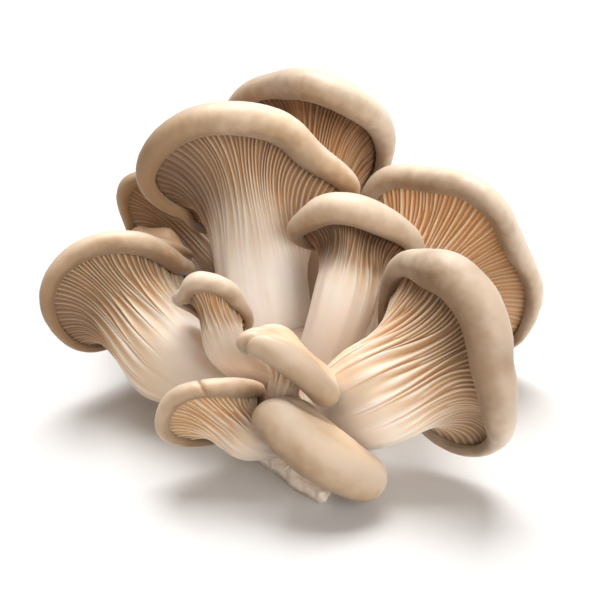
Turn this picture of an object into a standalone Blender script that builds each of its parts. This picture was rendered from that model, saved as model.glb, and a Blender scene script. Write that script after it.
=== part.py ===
"""An oyster mushroom cluster as picked, lying on its cut base.

Twelve mushrooms fan out of one trimmed lump of flesh. Each mushroom is a fleshy stem, whose gills
flare out as raised ridges under the cap, and a fan-shaped cap with a thick rolled rim. The part
stands on the flat cut under the lump. Its origin lies in that cut, +Z is up, -Y is the side that
the gills look to, and the lengths in the script are millimetres until a mesh is made.
"""
import math

import bmesh
import bpy
import numpy as np

MM = 0.001
GAP = 0.3                 # clearance between two bodies that touch

# Gills and rims
GILL_DEPTH = 1.8          # from the bottom of a groove to the crest beside it, on a large head
RIM_INSET = 0.62          # where the gills end, as a share of the rim's radius inside its middle line
RIM_CLEAR = 1.2           # from the ends of the gills to the wall of the rim
LID_RISE = 0.9            # thickness of the flesh over the gills at the rim
LID_CROWN = 1.0           # how much more of it there is over the stem

# How finely a head is divided: gill columns, rows on the stem, rows on the flare, rim columns
LARGE = (52, 2, 5, 26)
MEDIUM = (40, 2, 5, 20)
SMALL = (24, 2, 3, 24)

# The trimmed base
BASE_MIDDLE = (3.5, 2.0)
BASE_HALF_WIDTH = 25.0
BASE_HALF_DEPTH = 38.0
BASE_HEIGHT = 30.0
BASE_FRONT_SHARE = 0.4    # the front end is this share as wide and high as the middle
BASE_FLAT = 0.86          # the cut's outline, as a share of the base's widest outline
BASE_SLANT = 0.12         # how far the front end leans to +X, as a share of its distance

# Colours, linear
CAP_COLOUR = (0.56, 0.42, 0.29, 1.0)
STEM_COLOUR = (0.86, 0.76, 0.63, 1.0)
BASE_COLOUR = (0.88, 0.81, 0.70, 1.0)

# One entry for each mushroom. facing: the way the cap's skin looks. fan: the way from the stem to
# the wide side. half: half-length along the fan and half-width across it. rim: the rolled rim's
# radius where it is thickest and thinnest, and the angle from the fan of the thickest place.
# lobes: (count, share of the radius, angle). waves: (count, height, angle). pocket: how deep the
# gills turn in behind the stem before they reach the rim, and the angle of that place. neck: the
# stem's narrow place under the gills, with its radii along and across the fan. root: the same
# inside the base. tight: the length on the stem's side as a share. inset: where the gills end, as
# a share of the rim's radius inside its middle line. lip: how far the rim curls under, from its
# outermost line.
MUSHROOMS = {
    "top_left": dict(
        centre=(-13.5, 40, 67), facing=(-0.085, 0.881, 0.466), fan=(-0.06, -0.47, 0.88),
        half=(27.3, 29.6), rim=(5.4, 2.1, 18), crown=4.0, tight=1.06, pocket=(0.85, -95),
        lobes=((2, 0.055, -49), (3, 0.07, -36), (4, 0.11, 17), (5, 0.045, -24)),
        waves=((1, 1.0, -10), (2, 4.2, -11), (3, 1.6, 57)),
        neck=(-8, 27, 33), neck_radii=(10, 13.5), root=(-2, 13, 9), root_radii=(7, 11),
        division=LARGE),
    "top_back": dict(
        centre=(8, 70, 67), facing=(0.294, 0.869, 0.399), fan=(-0.18, -0.36, 0.92),
        half=(27, 27), rim=(5.3, 2.4, 18), crown=4.0, pocket=(0.4, -60),
        lobes=((3, 0.105, 33), (4, 0.04, 1)), waves=((2, 2.5, -59), (3, 1.3, -42)),
        neck=(5.5, 61, 41), neck_radii=(8.5, 9.5), root=(5, 29, 9), root_radii=(7, 8),
        division=LARGE),
    "right_back": dict(
        centre=(47, 40, 38.5), facing=(0.456, 0.867, 0.202), fan=(0.42, -0.41, 0.81),
        half=(32, 33.5), rim=(4.3, 2.1, -28), crown=4.0, pocket=(0.4, 60),
        lobes=((3, 0.09, -19), (4, 0.06, 22), (5, 0.06, -11)), waves=((2, 1.8, -52), (3, 1.6, 52)),
        neck=(34, 31, 27), neck_radii=(10, 11), root=(12, 14, 11), root_radii=(7, 8),
        division=LARGE),
    "middle": dict(
        centre=(19, 23, 55.5), facing=(0.13, 0.839, 0.529), fan=(0.24, -0.54, 0.8),
        half=(16.5, 20.5), rim=(5.0, 1.8, -12), crown=3.0, tight=0.85, pocket=(0.8, -85),
        lobes=((3, 0.065, -15), (4, 0.015, -34)), waves=((2, 0.45, -16), (3, 0.25, -59)),
        neck=(16.5, 10, 43), neck_radii=(7, 9.5), root=(5, 1, 11), root_radii=(6, 7.5),
        division=MEDIUM),
    "right_front": dict(
        centre=(44.5, -17, 40), facing=(0.797, 0.603, -0.015), fan=(0.5, -0.65, 0.57),
        half=(25, 31.5), rim=(7.0, 2.0, -28), crown=4.0, tight=1.15, pocket=(1.0, 85),
        lobes=((3, 0.04, 0), (4, 0.045, 43)), waves=((2, 2.3, -83), (3, 2.3, -15)),
        neck=(25.5, -19, 28.5), neck_radii=(10, 15), root=(7, -4, 8), root_radii=(7, 10),
        division=LARGE),
    "left": dict(
        centre=(-50.5, 26, 35.5), facing=(-0.44, 0.854, 0.278), fan=(-0.86, -0.49, 0.16),
        half=(25, 22), rim=(3.9, 1.8, 100), crown=3.5, pocket=(0.8, -40),
        lobes=((3, 0.035, -46), (4, 0.04, 5)), waves=((2, 4.1, 30), (3, 0.8, -54)),
        neck=(-36, 12.5, 21), neck_radii=(11, 16), root=(-7, 6, 9.5), root_radii=(7, 8.5),
        division=LARGE),
    "small_centre": dict(
        centre=(-21.5, 0, 45), facing=(0.173, 0.857, 0.485), fan=(-0.27, -0.43, 0.86),
        half=(15.5, 11), rim=(3.1, 1.6, 10), crown=2.0, pocket=(0.8, -75),
        lobes=((3, 0.055, 26), (5, 0.05, -14)), waves=((2, 1.5, 75), (3, 1.0, 4)),
        neck=(-18, -8, 38), neck_radii=(4.6, 6), root=(0, 3.5, 16.5), root_radii=(4, 5.5),
        division=SMALL),
    "bean": dict(
        centre=(1, -21.5, 40), facing=(0.626, 0.153, 0.764), fan=(0.13, -0.987, 0.095),
        half=(11, 17), rim=(4.4, 3.3, 20), crown=1.5, tight=0.85, inset=0.1, lip=-95,
        pocket=(0, 0), lobes=((3, 0.05, 48), (4, 0.035, 44)),
        waves=((2, 1.5, 0), (3, 0.8, -28), (4, 0.5, 29)),
        neck=(-1, -20, 33), neck_radii=(3, 4.5), root=(1.5, -9, 14), root_radii=(3.5, 5),
        division=SMALL),
    "front_left": dict(
        centre=(-19.5, -18, 22.2), facing=(-0.4, 0.866, 0.3), fan=(-0.86, -0.47, 0.19),
        half=(19.5, 14), rim=(3.1, 1.7, 72), crown=2.0, tight=0.78, pocket=(0.6, -50),
        lobes=((3, 0.06, -50),), waves=((2, 1.9, -2), (3, 0.75, 39)),
        neck=(-13, -23.5, 17), neck_radii=(5.5, 7), root=(-1, -14, 7), root_radii=(4, 5),
        division=SMALL),
    "front": dict(
        centre=(9, -31, 18), facing=(0.62, 0.155, 0.769), fan=(0.08, -0.987, 0.135),
        half=(13, 22.5), rim=(6.9, 5.5, -5), crown=1.5, tight=0.85, inset=0.1, lip=-95,
        pocket=(0, 0), lobes=((3, 0.03, 44), (4, 0.055, 33)),
        waves=((2, 0.8, 62), (3, 0.5, -35), (4, 0.6, 31)),
        neck=(4.5, -32, 11), neck_radii=(2.2, 7.5), root=(6, -16, 7), root_radii=(4, 6),
        division=SMALL),
    "back_left": dict(
        centre=(-40, 66, 41.5), facing=(-0.561, 0.806, 0.19), fan=(-0.26, -0.39, 0.88),
        half=(19, 15.5), rim=(3.3, 1.5, 50), crown=2.5, pocket=(0.8, -60),
        lobes=((3, 0.05, -26), (4, 0.035, -28)), waves=((2, 1.4, -32), (3, 1.0, -33)),
        neck=(-22.5, 59, 27.5), neck_radii=(6, 8), root=(-7, 30, 10), root_radii=(4.5, 4.5),
        division=SMALL),
    "tucked": dict(
        centre=(-39.5, 52.3, 36.6), facing=(0.4, 0.35, 0.85), fan=(0.1, -0.93, 0.35),
        half=(8, 10.5), rim=(2.8, 1.8, -60), crown=3.2, inset=0.3, lip=-115,
        pocket=(0, 0), lobes=((3, 0.03, 20),), waves=((2, 0.6, 30),),
        neck=(-38, 52.3, 30.3), neck_radii=(2.2, 2.6), root=(-16, 27, 8), root_radii=(2.8, 2.8),
        division=SMALL),
}


def unit(vector):
    """The direction of a vector."""
    vector = np.asarray(vector, float)
    return vector / np.linalg.norm(vector)


def turned(vector, start, end):
    """The vector turned by the smallest rotation that takes the direction start to end."""
    axis = np.cross(start, end)
    cosine = float(np.dot(start, end))
    return vector * cosine + np.cross(axis, vector) + axis * np.dot(axis, vector) / (1 + cosine)


def hermite(start, start_way, end, end_way, share):
    """Cubic from start to end, leaving and arriving along the two ways; share runs 0 to 1."""
    share = np.asarray(share, float)[:, None, None]
    square = share * share
    cube = square * share
    return ((2 * cube - 3 * square + 1) * start + (cube - 2 * square + share) * start_way
            + (3 * square - 2 * cube) * end + (cube - square) * end_way)


def waving(terms, angle):
    """Sum of size * cos(count * (angle - place)) over the terms (count, size, place in degrees)."""
    return sum(size * np.cos(count * (angle - math.radians(place))) for count, size, place in terms)


class Head:
    """The frame and the rim line of one mushroom's cap, at the angles round it that are asked for."""

    def __init__(self, shape, columns):
        self.shape = shape
        self.angle = np.arange(columns) * 2 * np.pi / columns
        self.normal = unit(shape["facing"])
        fan = np.array(shape["fan"], float)
        self.along = unit(fan - np.dot(fan, self.normal) * self.normal)
        self.across = np.cross(self.normal, self.along)
        self.centre = np.array(shape["centre"], float)
        thick, thin, place = shape["rim"]
        swell = 0.5 + 0.5 * np.cos(self.angle - math.radians(place))
        self.radius = thin + (thick - thin) * swell
        behind = np.maximum(0.0, -np.cos(self.angle)) ** 2
        reach = 1 + waving(shape["lobes"], self.angle) + (shape.get("tight", 1.0) - 1) * behind
        self.inset = shape.get("inset", RIM_INSET) * self.radius
        length, width = shape["half"]
        self.line = (self.centre
                     + ((length * reach - self.radius) * np.cos(self.angle))[:, None] * self.along
                     + ((width * reach - self.radius) * np.sin(self.angle))[:, None] * self.across
                     + waving(shape["waves"], self.angle)[:, None] * self.normal)
        self.height = (self.line - self.centre) @ self.normal
        flat = self.line - self.centre - self.height[:, None] * self.normal
        self.reach = np.linalg.norm(flat, axis=1)
        self.outward = flat / self.reach[:, None]
        self.tight = 0.5 - 0.5 * np.cos(self.angle)

    def at(self, out, up):
        """Points beside the rim line: out from the cap's middle and up along its normal."""
        return self.line + np.multiply(out, 1.0)[..., None] * self.outward \
            + np.multiply(up, 1.0)[..., None] * self.normal

    def dome(self, share, top):
        """Ring of the domed skin: share 0 is the crown of the rim, 1 is top over the middle."""
        ease = share * share * (3 - 2 * share)
        height = (self.height + self.radius) * (1 - ease) + top * ease
        return (self.centre + (self.reach * (1 - share))[:, None] * self.outward
                + height[:, None] * self.normal)


def ring(head, middle, radii, way):
    """Oval ring of the stem round its middle line, square to the way that the stem grows."""
    along = turned(head.along, head.normal, way)
    across = turned(head.across, head.normal, way)
    return (np.array(middle, float) + radii[0] * np.cos(head.angle)[:, None] * along
            + radii[1] * np.sin(head.angle)[:, None] * across)


def gill_surface(head, stem_rows, flare_rows):
    """Rows of the mean surface from the root up the stem and out under the cap to the rim."""
    shape = head.shape
    neck = np.array(shape["neck"], float)
    root = np.array(shape["root"], float)
    rise = unit(neck - root)
    way = unit(rise + unit(head.centre - neck) + head.normal)
    low = ring(head, root, shape["root_radii"], rise)
    narrow = ring(head, neck, shape["neck_radii"], way)
    length = np.linalg.norm(neck - root)
    stem = hermite(low, rise * length, narrow, way * length, np.linspace(0, 1, stem_rows + 1)[:-1])
    end = head.at(-head.inset - RIM_CLEAR, 0.05 * head.radius)
    span = np.linalg.norm(end - narrow, axis=1)[:, None]
    amount, place = shape["pocket"]
    pocket = amount * (0.5 + 0.5 * np.cos(head.angle - math.radians(place))) ** 2
    slope = np.radians((16 + 52 * head.tight) * (1 - pocket) + 8 * pocket)[:, None]
    arrive = head.outward * np.cos(slope) + head.normal * np.sin(slope)
    arrive = arrive * span * (1 + 0.4 * pocket)[:, None]
    leave = way * span * ((1 - 0.5 * head.tight) * (1 + 0.35 * pocket))[:, None]
    flare = hermite(narrow, leave, end, arrive, np.linspace(0, 1, flare_rows + 1))
    return np.concatenate([stem, flare])


def raise_gills(surface, head, stem_rows):
    """The mean surface with a crest on every second column and a groove on the others."""
    rows = len(surface)
    down = np.gradient(surface, axis=0)
    round_ = np.roll(surface, -1, axis=1) - np.roll(surface, 1, axis=1)
    out = np.cross(round_, down)
    out /= np.linalg.norm(out, axis=2)[..., None]
    row = np.arange(rows)
    fade = np.interp(row, (0, stem_rows, stem_rows + 0.5 * (rows - stem_rows), rows - 1),
                     (0.15, 0.55, 1.0, 0.3))
    crest = np.where(np.arange(len(head.angle)) % 2 == 0, 0.5, -0.5)
    amount, place = head.shape["pocket"]
    shallow = 1 - 0.6 * amount * (0.5 + 0.5 * np.cos(head.angle - math.radians(place))) ** 2
    depth = GILL_DEPTH * min(1.0, 0.35 + head.shape["half"][0] / 40) * shallow
    return surface + (depth * fade[:, None] * crest)[..., None] * out


def stem_rings(shape):
    """Closed rings of the stem with its gills, and the lid of flesh that the cap lies on."""
    columns, stem_rows, flare_rows, _ = shape["division"]
    head = Head(shape, columns)
    surface = raise_gills(gill_surface(head, stem_rows, flare_rows), head, stem_rows)
    lid = head.at(-head.inset - RIM_CLEAR, 0.05 * head.radius + LID_RISE)
    lid[1::2] = (lid[0::2] + np.roll(lid[0::2], -1, axis=0)) / 2
    top = LID_CROWN + LID_RISE
    return list(surface) + [lid], surface[0].mean(axis=0), head.centre + top * head.normal


def cap_rings(shape):
    """Closed rings of the cap: its underside over the lid, the rolled rim and the domed skin."""
    head = Head(shape, shape["division"][3])
    under = LID_CROWN + LID_RISE + GAP
    rings = [head.at(-head.inset, 0.05 * head.radius + LID_RISE + GAP)]
    lip = np.radians(shape.get("lip", -150 + 35 * head.tight))
    for share in np.linspace(0, 1, 7):
        turn = lip + (math.pi / 2 - lip) * share
        rings.append(head.at(head.radius * np.cos(turn), head.radius * np.sin(turn)))
    top = float(head.radius.mean()) + shape["crown"]
    rings += [head.dome(share, top) for share in (0.3, 0.65)]
    return rings, head.centre + under * head.normal, head.centre + top * head.normal


def base_rings(grow=0.0):
    """Rings of the trimmed lump, from its flat cut up; grow swells it for the stems' sockets."""
    angle = np.arange(36) * 2 * np.pi / 36
    forward = 0.5 - 0.5 * np.sin(angle)
    narrow = 1 - (1 - BASE_FRONT_SHARE) * forward ** 2
    rough = 1 + 0.03 * np.cos(5 * angle + 1.0) + 0.025 * np.cos(9 * angle)
    rings = []
    for level in (0.0, 0.16, 0.4, 0.62, 0.8, 0.93):
        bulge = math.sqrt(1 - level ** 2.6) * min(1.0, BASE_FLAT + level)
        wide = (BASE_HALF_WIDTH * narrow * rough * bulge + grow) * np.cos(angle)
        deep = (BASE_HALF_DEPTH * rough * bulge + grow) * np.sin(angle)
        high = BASE_HEIGHT * level * (0.45 + 0.55 * narrow)
        high = high + grow * level - (2 * grow if level == 0.0 else 0.0)
        rings.append(np.stack([BASE_MIDDLE[0] + wide - BASE_SLANT * deep, BASE_MIDDLE[1] + deep,
                               np.broadcast_to(high, angle.shape)], axis=1))
    return rings


def make_material(name, colour, roughness):
    """A plain Principled finish."""
    material = bpy.data.materials.new(name)
    material.use_nodes = True
    shader = material.node_tree.nodes["Principled BSDF"]
    shader.inputs["Base Color"].default_value = colour
    shader.inputs["Roughness"].default_value = roughness
    return material


def make_body(name, rings, first, last, material, parent):
    """A closed mesh through the rings, ended by a fan of faces at the first and last points."""
    columns = len(rings[0])
    rows = len(rings)
    points = np.concatenate([np.concatenate(rings), [first], [last]]) * MM
    nearest = np.arange(columns)
    following = (nearest + 1) % columns
    faces = [[first_row + a, first_row + b, first_row + columns + b, first_row + columns + a]
             for first_row in range(0, (rows - 1) * columns, columns)
             for a, b in zip(nearest.tolist(), following.tolist())]
    start, end = rows * columns, rows * columns + 1
    last_row = (rows - 1) * columns
    faces += [[start, b, a] for a, b in zip(nearest.tolist(), following.tolist())]
    faces += [[end, last_row + a, last_row + b] for a, b in zip(nearest.tolist(), following.tolist())]
    mesh = bpy.data.meshes.new(name)
    mesh.from_pydata(points.tolist(), [], faces)
    shell = bmesh.new()
    shell.from_mesh(mesh)
    bmesh.ops.triangulate(shell, faces=shell.faces[:], quad_method="SHORT_EDGE")
    if shell.calc_volume(signed=True) < 0:
        bmesh.ops.reverse_faces(shell, faces=shell.faces[:])
    shell.to_mesh(mesh)
    shell.free()
    mesh.shade_smooth()
    mesh.set_sharp_from_angle(angle=math.radians(40))
    body = bpy.data.objects.new(name, mesh)
    bpy.context.scene.collection.objects.link(body)
    if material:
        mesh.materials.append(material)
    body.parent = parent
    return body


def make_base(material, parent):
    """The lump, and the slightly larger cutter that trims whatever grows out of it."""
    rings = base_rings()
    first = rings[0].mean(axis=0)
    last = rings[-1].mean(axis=0) + (0, 0, 0.07 * BASE_HEIGHT)
    base = make_body("base", rings, first, last, material, parent)
    rings = base_rings(GAP)
    first = rings[0].mean(axis=0)
    last = rings[-1].mean(axis=0) + (0, 0, 0.07 * BASE_HEIGHT + GAP)
    cutter = make_body("base_cutter", rings, first, last, None, parent)
    cutter.hide_render = True
    cutter.display_type = "WIRE"
    return base, cutter


def trim(body, cutter):
    """Cut from a body what would lie inside the base."""
    cut = body.modifiers.new("grown out of the base", "BOOLEAN")
    cut.object = cutter
    cut.operation = "DIFFERENCE"


def make_mushroom(name, shape, materials, cutter, parent):
    """One mushroom: the gilled stem and the cap over it."""
    rings, first, last = stem_rings(shape)
    stem = make_body("stem_" + name, rings, first, last, materials["stem"], parent)
    trim(stem, cutter)
    rings, first, last = cap_rings(shape)
    cap = make_body("cap_" + name, rings, first, last, materials["cap"], parent)
    if name in ("bean", "front", "front_left"):
        trim(cap, cutter)


def main():
    """Clear the scene and build the cluster."""
    for old in list(bpy.data.objects):
        bpy.data.objects.remove(old)
    cluster = bpy.data.objects.new("oyster_mushroom_cluster", None)
    bpy.context.scene.collection.objects.link(cluster)
    materials = {
        "cap": make_material("cap skin", CAP_COLOUR, 0.5),
        "stem": make_material("gills and stem", STEM_COLOUR, 0.6),
        "base": make_material("trimmed flesh", BASE_COLOUR, 0.7),
    }
    cutter = make_base(materials["base"], cluster)[1]
    for name, shape in MUSHROOMS.items():
        make_mushroom(name, shape, materials, cutter, cluster)


main()
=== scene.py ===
"""Looks of the oyster mushroom cluster: fine gills, rolled cap skins, torn base and a white stage.

Lengths in the shapes below are millimetres and become metres when a mesh is made.
"""
import math

import bpy
import numpy as np
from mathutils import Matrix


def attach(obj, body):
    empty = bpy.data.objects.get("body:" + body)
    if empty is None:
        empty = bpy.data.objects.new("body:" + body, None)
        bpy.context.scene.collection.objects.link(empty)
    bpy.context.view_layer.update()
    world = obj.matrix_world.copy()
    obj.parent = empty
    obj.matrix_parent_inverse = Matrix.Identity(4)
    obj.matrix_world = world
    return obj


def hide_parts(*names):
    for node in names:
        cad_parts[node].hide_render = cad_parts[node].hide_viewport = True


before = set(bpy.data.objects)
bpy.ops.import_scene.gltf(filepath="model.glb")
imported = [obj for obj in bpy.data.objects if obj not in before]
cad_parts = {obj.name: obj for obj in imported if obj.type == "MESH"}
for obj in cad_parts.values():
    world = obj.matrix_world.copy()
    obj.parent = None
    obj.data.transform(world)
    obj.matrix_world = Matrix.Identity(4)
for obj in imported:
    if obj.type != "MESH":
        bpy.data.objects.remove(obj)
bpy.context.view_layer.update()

MM = 0.001                # a millimetre in metres
IN_MM = 1000              # millimetres in a metre

bl_info = {
    "name": "Oyster mushroom cluster",
    "version": (1, 0, 0),
    "blender": (4, 5, 0),
    "location": "View3D > Sidebar > Mushrooms",
    "description": "Grows gilled stems, rolled caps and a torn base over the cluster's solids",
    "category": "Add Mesh",
}

# One entry for each mushroom, in the words of the part: where the cap is, which way its skin
# looks, the way from the stem to the wide side, the rolled rim, lobes and waves of the rim line,
# how deep and where the gills turn in behind the stem, and the stem's neck and root. tight is the
# length on the stem's side as a share, inset is where the gills end as a share of the rim's radius,
# and lip is how far the rim curls under. gills is the number of full gills, fade is how far along
# from root to rim they begin to stand out, and run lets them start lower (how much, angle of the
# place). gloom is how dark the painted shade is in the pocket behind the stem. tone shifts the
# skin from pale (0) to dark (1): the cap's own colour, and painted shade on caps that lie in
# shade. wear_and_shade adds to it (how much, angle of the place): painted shade on the side turned
# from the light or tucked under a neighbour, partly darker skin. cool shifts it from tan (0) to a
# greyer cream (1), and dents press the rim in (angle, half-width, depth), each with a painted line
# of shade. warmth shifts the gills from cream (0) to rust (1), dusk is painted shade over a head's
# gills that also flattens them, and shaded is how dark the painted shade on the gills gets next to
# the rim.
MUSHROOMS = {
    "top_left": dict(
        centre=(-13.5, 40, 67), facing=(-0.085, 0.881, 0.466), fan=(-0.06, -0.47, 0.88),
        half=(27.3, 29.6), rim=(5.4, 2.1, 18), crown=4.0, tight=1.06, pocket=(0.85, -95),
        lobes=((2, 0.055, -49), (3, 0.07, -36), (4, 0.11, 17), (5, 0.045, -24)),
        waves=((1, 1.0, -10), (2, 4.2, -11), (3, 1.6, 57)),
        neck=(-8, 27, 33), neck_radii=(10, 13.5), root=(-2, 13, 9), root_radii=(7, 11),
        gills=40, fade=0.62, tone=0.05, wear_and_shade=((1.3, -95),), cool=0.1,
        warmth=0.15, dusk=0.0, shaded=0.7),
    "top_back": dict(
        centre=(8, 70, 67), facing=(0.294, 0.869, 0.399), fan=(-0.18, -0.36, 0.92),
        half=(27, 27), rim=(5.3, 2.4, 18), crown=4.0, pocket=(0.4, -60),
        lobes=((3, 0.105, 33), (4, 0.04, 1)), waves=((2, 2.5, -59), (3, 1.3, -42)),
        neck=(5.5, 61, 41), neck_radii=(8.5, 9.5), root=(5, 29, 9), root_radii=(7, 8),
        gills=44, fade=0.4, tone=0.0, wear_and_shade=((0.5, -60),), cool=0.8,
        warmth=1.0, dusk=0.25, shaded=1.3),
    "right_back": dict(
        centre=(47, 40, 38.5), facing=(0.456, 0.867, 0.202), fan=(0.42, -0.41, 0.81),
        half=(32, 33.5), rim=(4.3, 2.1, -28), crown=4.0, pocket=(0.4, 60),
        lobes=((3, 0.09, -19), (4, 0.06, 22), (5, 0.06, -11)), waves=((2, 1.8, -52), (3, 1.6, 52)),
        neck=(34, 31, 27), neck_radii=(10, 11), root=(12, 14, 11), root_radii=(7, 8),
        gills=48, fade=0.4, tone=0.0, wear_and_shade=((0.15, -40),), cool=0.9,
        warmth=0.95, dusk=0.0, shaded=0.1),
    "middle": dict(
        centre=(19, 23, 55.5), facing=(0.13, 0.839, 0.529), fan=(0.24, -0.54, 0.8),
        half=(16.5, 20.5), rim=(5.0, 1.8, -12), crown=3.0, tight=0.85, pocket=(0.8, -85),
        lobes=((3, 0.065, -15), (4, 0.015, -34)), waves=((2, 0.45, -16), (3, 0.25, -59)),
        neck=(16.5, 10, 43), neck_radii=(7, 9.5), root=(5, 1, 11), root_radii=(6, 7.5),
        gills=32, fade=0.6, run=(0.3, 80), tone=0.15, wear_and_shade=((0.2, 90),), cool=0.4,
        warmth=0.4, dusk=0.0, shaded=1.7),
    "right_front": dict(
        centre=(44.5, -17, 40), facing=(0.797, 0.603, -0.015), fan=(0.5, -0.65, 0.57),
        half=(25, 31.5), rim=(7.0, 2.0, -28), crown=4.0, tight=1.15, pocket=(1.0, 85),
        lobes=((3, 0.04, 0), (4, 0.045, 43)), waves=((2, 2.3, -83), (3, 2.3, -15)),
        neck=(25.5, -19, 28.5), neck_radii=(10, 15), root=(7, -4, 8), root_radii=(7, 10),
        gills=40, fade=0.45, run=(0.2, -60), tone=0.0, wear_and_shade=((0.6, 5),), cool=1.0,
        dents=((12, 8, 1.1), (-38, 10, 0.5)), warmth=0.25, dusk=0.0, shaded=0.6, gloom=0.45),
    "left": dict(
        centre=(-50.5, 26, 35.5), facing=(-0.44, 0.854, 0.278), fan=(-0.86, -0.49, 0.16),
        half=(25, 22), rim=(3.9, 1.8, 100), crown=3.5, pocket=(0.8, -40),
        lobes=((3, 0.035, -46), (4, 0.04, 5)), waves=((2, 4.1, 30), (3, 0.8, -54)),
        neck=(-36, 12.5, 21), neck_radii=(11, 16), root=(-7, 6, 9.5), root_radii=(7, 8.5),
        gills=40, fade=0.5, run=(0.3, -50), tone=0.08, wear_and_shade=((1.0, -30),), cool=0.3,
        warmth=0.15, dusk=0.0, shaded=0.4, gloom=1.0),
    "small_centre": dict(
        centre=(-21.5, 0, 45), facing=(0.173, 0.857, 0.485), fan=(-0.27, -0.43, 0.86),
        half=(15.5, 11), rim=(3.1, 1.6, 10), crown=2.0, pocket=(0.8, -75),
        lobes=((3, 0.055, 26), (5, 0.05, -14)), waves=((2, 1.5, 75), (3, 1.0, 4)),
        neck=(-18, -8, 38), neck_radii=(4.6, 6), root=(0, 3.5, 16.5), root_radii=(4, 5.5),
        gills=22, fade=0.45, tone=0.15, wear_and_shade=((0.2, -90),), cool=0.6,
        warmth=0.55, dusk=0.1, shaded=0.35),
    "bean": dict(
        centre=(1, -21.5, 40), facing=(0.626, 0.153, 0.764), fan=(0.13, -0.987, 0.095),
        half=(11, 17), rim=(4.4, 3.3, 20), crown=1.5, tight=0.85, inset=0.1, lip=-95,
        pocket=(0, 0), lobes=((3, 0.05, 48), (4, 0.035, 44)),
        waves=((2, 1.5, 0), (3, 0.8, -28), (4, 0.5, 29)),
        neck=(-1, -20, 33), neck_radii=(3, 4.5), root=(1.5, -9, 14), root_radii=(3.5, 5),
        gills=16, fade=0.3, tone=0.12, wear_and_shade=((0.5, 20),), cool=0.1,
        dents=((-66, 6, 1.5), (-125, 8, 0.7)), warmth=0.8, dusk=0.2, shaded=0.2),
    "front_left": dict(
        centre=(-19.5, -18, 22.2), facing=(-0.4, 0.866, 0.3), fan=(-0.86, -0.47, 0.19),
        half=(19.5, 14), rim=(3.1, 1.7, 72), crown=2.0, tight=0.78, pocket=(0.6, -50),
        lobes=((3, 0.06, -50),), waves=((2, 1.9, -2), (3, 0.75, 39)),
        neck=(-13, -23.5, 17), neck_radii=(5.5, 7), root=(-1, -14, 7), root_radii=(4, 5),
        gills=26, fade=0.3, tone=0.12, wear_and_shade=((0.3, 0),), cool=0.1,
        dents=((62, 1.6, 0.8),), warmth=0.5, dusk=0.15, shaded=0.15, gloom=0.6),
    "front": dict(
        centre=(9, -31, 18), facing=(0.62, 0.155, 0.769), fan=(0.08, -0.987, 0.135),
        half=(13, 22.5), rim=(6.9, 5.5, -5), crown=1.5, tight=0.85, inset=0.1, lip=-95,
        pocket=(0, 0), lobes=((3, 0.03, 44), (4, 0.055, 33)),
        waves=((2, 0.8, 62), (3, 0.5, -35), (4, 0.6, 31)),
        neck=(4.5, -32, 11), neck_radii=(2.2, 7.5), root=(6, -16, 7), root_radii=(4, 6),
        gills=16, fade=0.3, tone=0.05, wear_and_shade=((0.5, 10), (0.6, -125)), cool=0.3,
        warmth=0.4, dusk=0.4, shaded=0.5),
    # back_left lies in shade under top_left's cap: its dark tone and its dusk are painted shade.
    "back_left": dict(
        centre=(-40, 66, 41.5), facing=(-0.561, 0.806, 0.19), fan=(-0.26, -0.39, 0.88),
        half=(19, 15.5), rim=(3.3, 1.5, 50), crown=2.5, pocket=(0.8, -60),
        lobes=((3, 0.05, -26), (4, 0.035, -28)), waves=((2, 1.4, -32), (3, 1.0, -33)),
        neck=(-22.5, 59, 27.5), neck_radii=(6, 8), root=(-7, 30, 10), root_radii=(4.5, 4.5),
        gills=30, fade=0.3, tone=0.75, wear_and_shade=((0.2, -90),), cool=0.0,
        warmth=0.5, dusk=0.82, shaded=0.0, gloom=0.0),
    # tucked lies in shade among its neighbours: its dark tone and its dusk are painted shade.
    "tucked": dict(
        centre=(-39.5, 52.3, 36.6), facing=(0.4, 0.35, 0.85), fan=(0.1, -0.93, 0.35),
        half=(8, 10.5), rim=(2.8, 1.8, -60), crown=3.2, inset=0.3, lip=-115,
        pocket=(0, 0), lobes=((3, 0.03, 20),), waves=((2, 0.6, 30),),
        neck=(-38, 52.3, 30.3), neck_radii=(2.2, 2.6), root=(-16, 27, 8), root_radii=(2.8, 2.8),
        gills=14, fade=0.3, tone=1.0, wear_and_shade=((0.1, 0),), cool=0.0,
        warmth=0.5, dusk=0.5, shaded=0.3),
}

# What holds for every mushroom whose entry says nothing else
RIM_INSET = 0.62          # where the gills end: this share of the rim's radius inside its line
# GLOOM is painted shade: how dark the gills are painted in the pocket behind the stem.
GLOOM = 1.3               # how dark the hollow is that the pocket makes

# Where gills, flesh and skin meet under the cap
END_RISE = 0.05           # height of the gills' ends over the rim line, as a share of its radius
END_LAP = 0.2             # how far the gills' ends reach past the line of the skin's inner wall
FLESH_RISE = 1.0          # height of the flesh's top over the cap's centre
SKIN_RISE = 1.2           # height of the skin's inner side over the gills' ends and the centre

# How finely a head is divided
SMALL_DETAIL = 0.7        # rows or columns of a small head, as a share of a large one's
STEM_SHARE = 0.32         # share of a gilled stem's rows that lie below the neck
MANY_GILLS = 30           # above this many gills a stem has all its rows
LONG_CAP = 16             # above this half-length a cap has all its columns

# Sizes of the largest lumps in the noise
STEM_LUMPS = 9.0
SKIN_DIMPLES = 16.0
SKIN_WRINKLES = 4.0
BASE_LUMPS = 12.0
BASE_RAGS = 4.5

STEM_FLOOR = 0.3          # lowest height of a stem over the surface under the cluster

# Seeds of the random draws; each mushroom adds its place in the alphabet
STEM_SEED = 11
CAP_SEED = 71
BASE_LUMPS_SEED = 5
BASE_RAGS_SEED = 6

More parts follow.
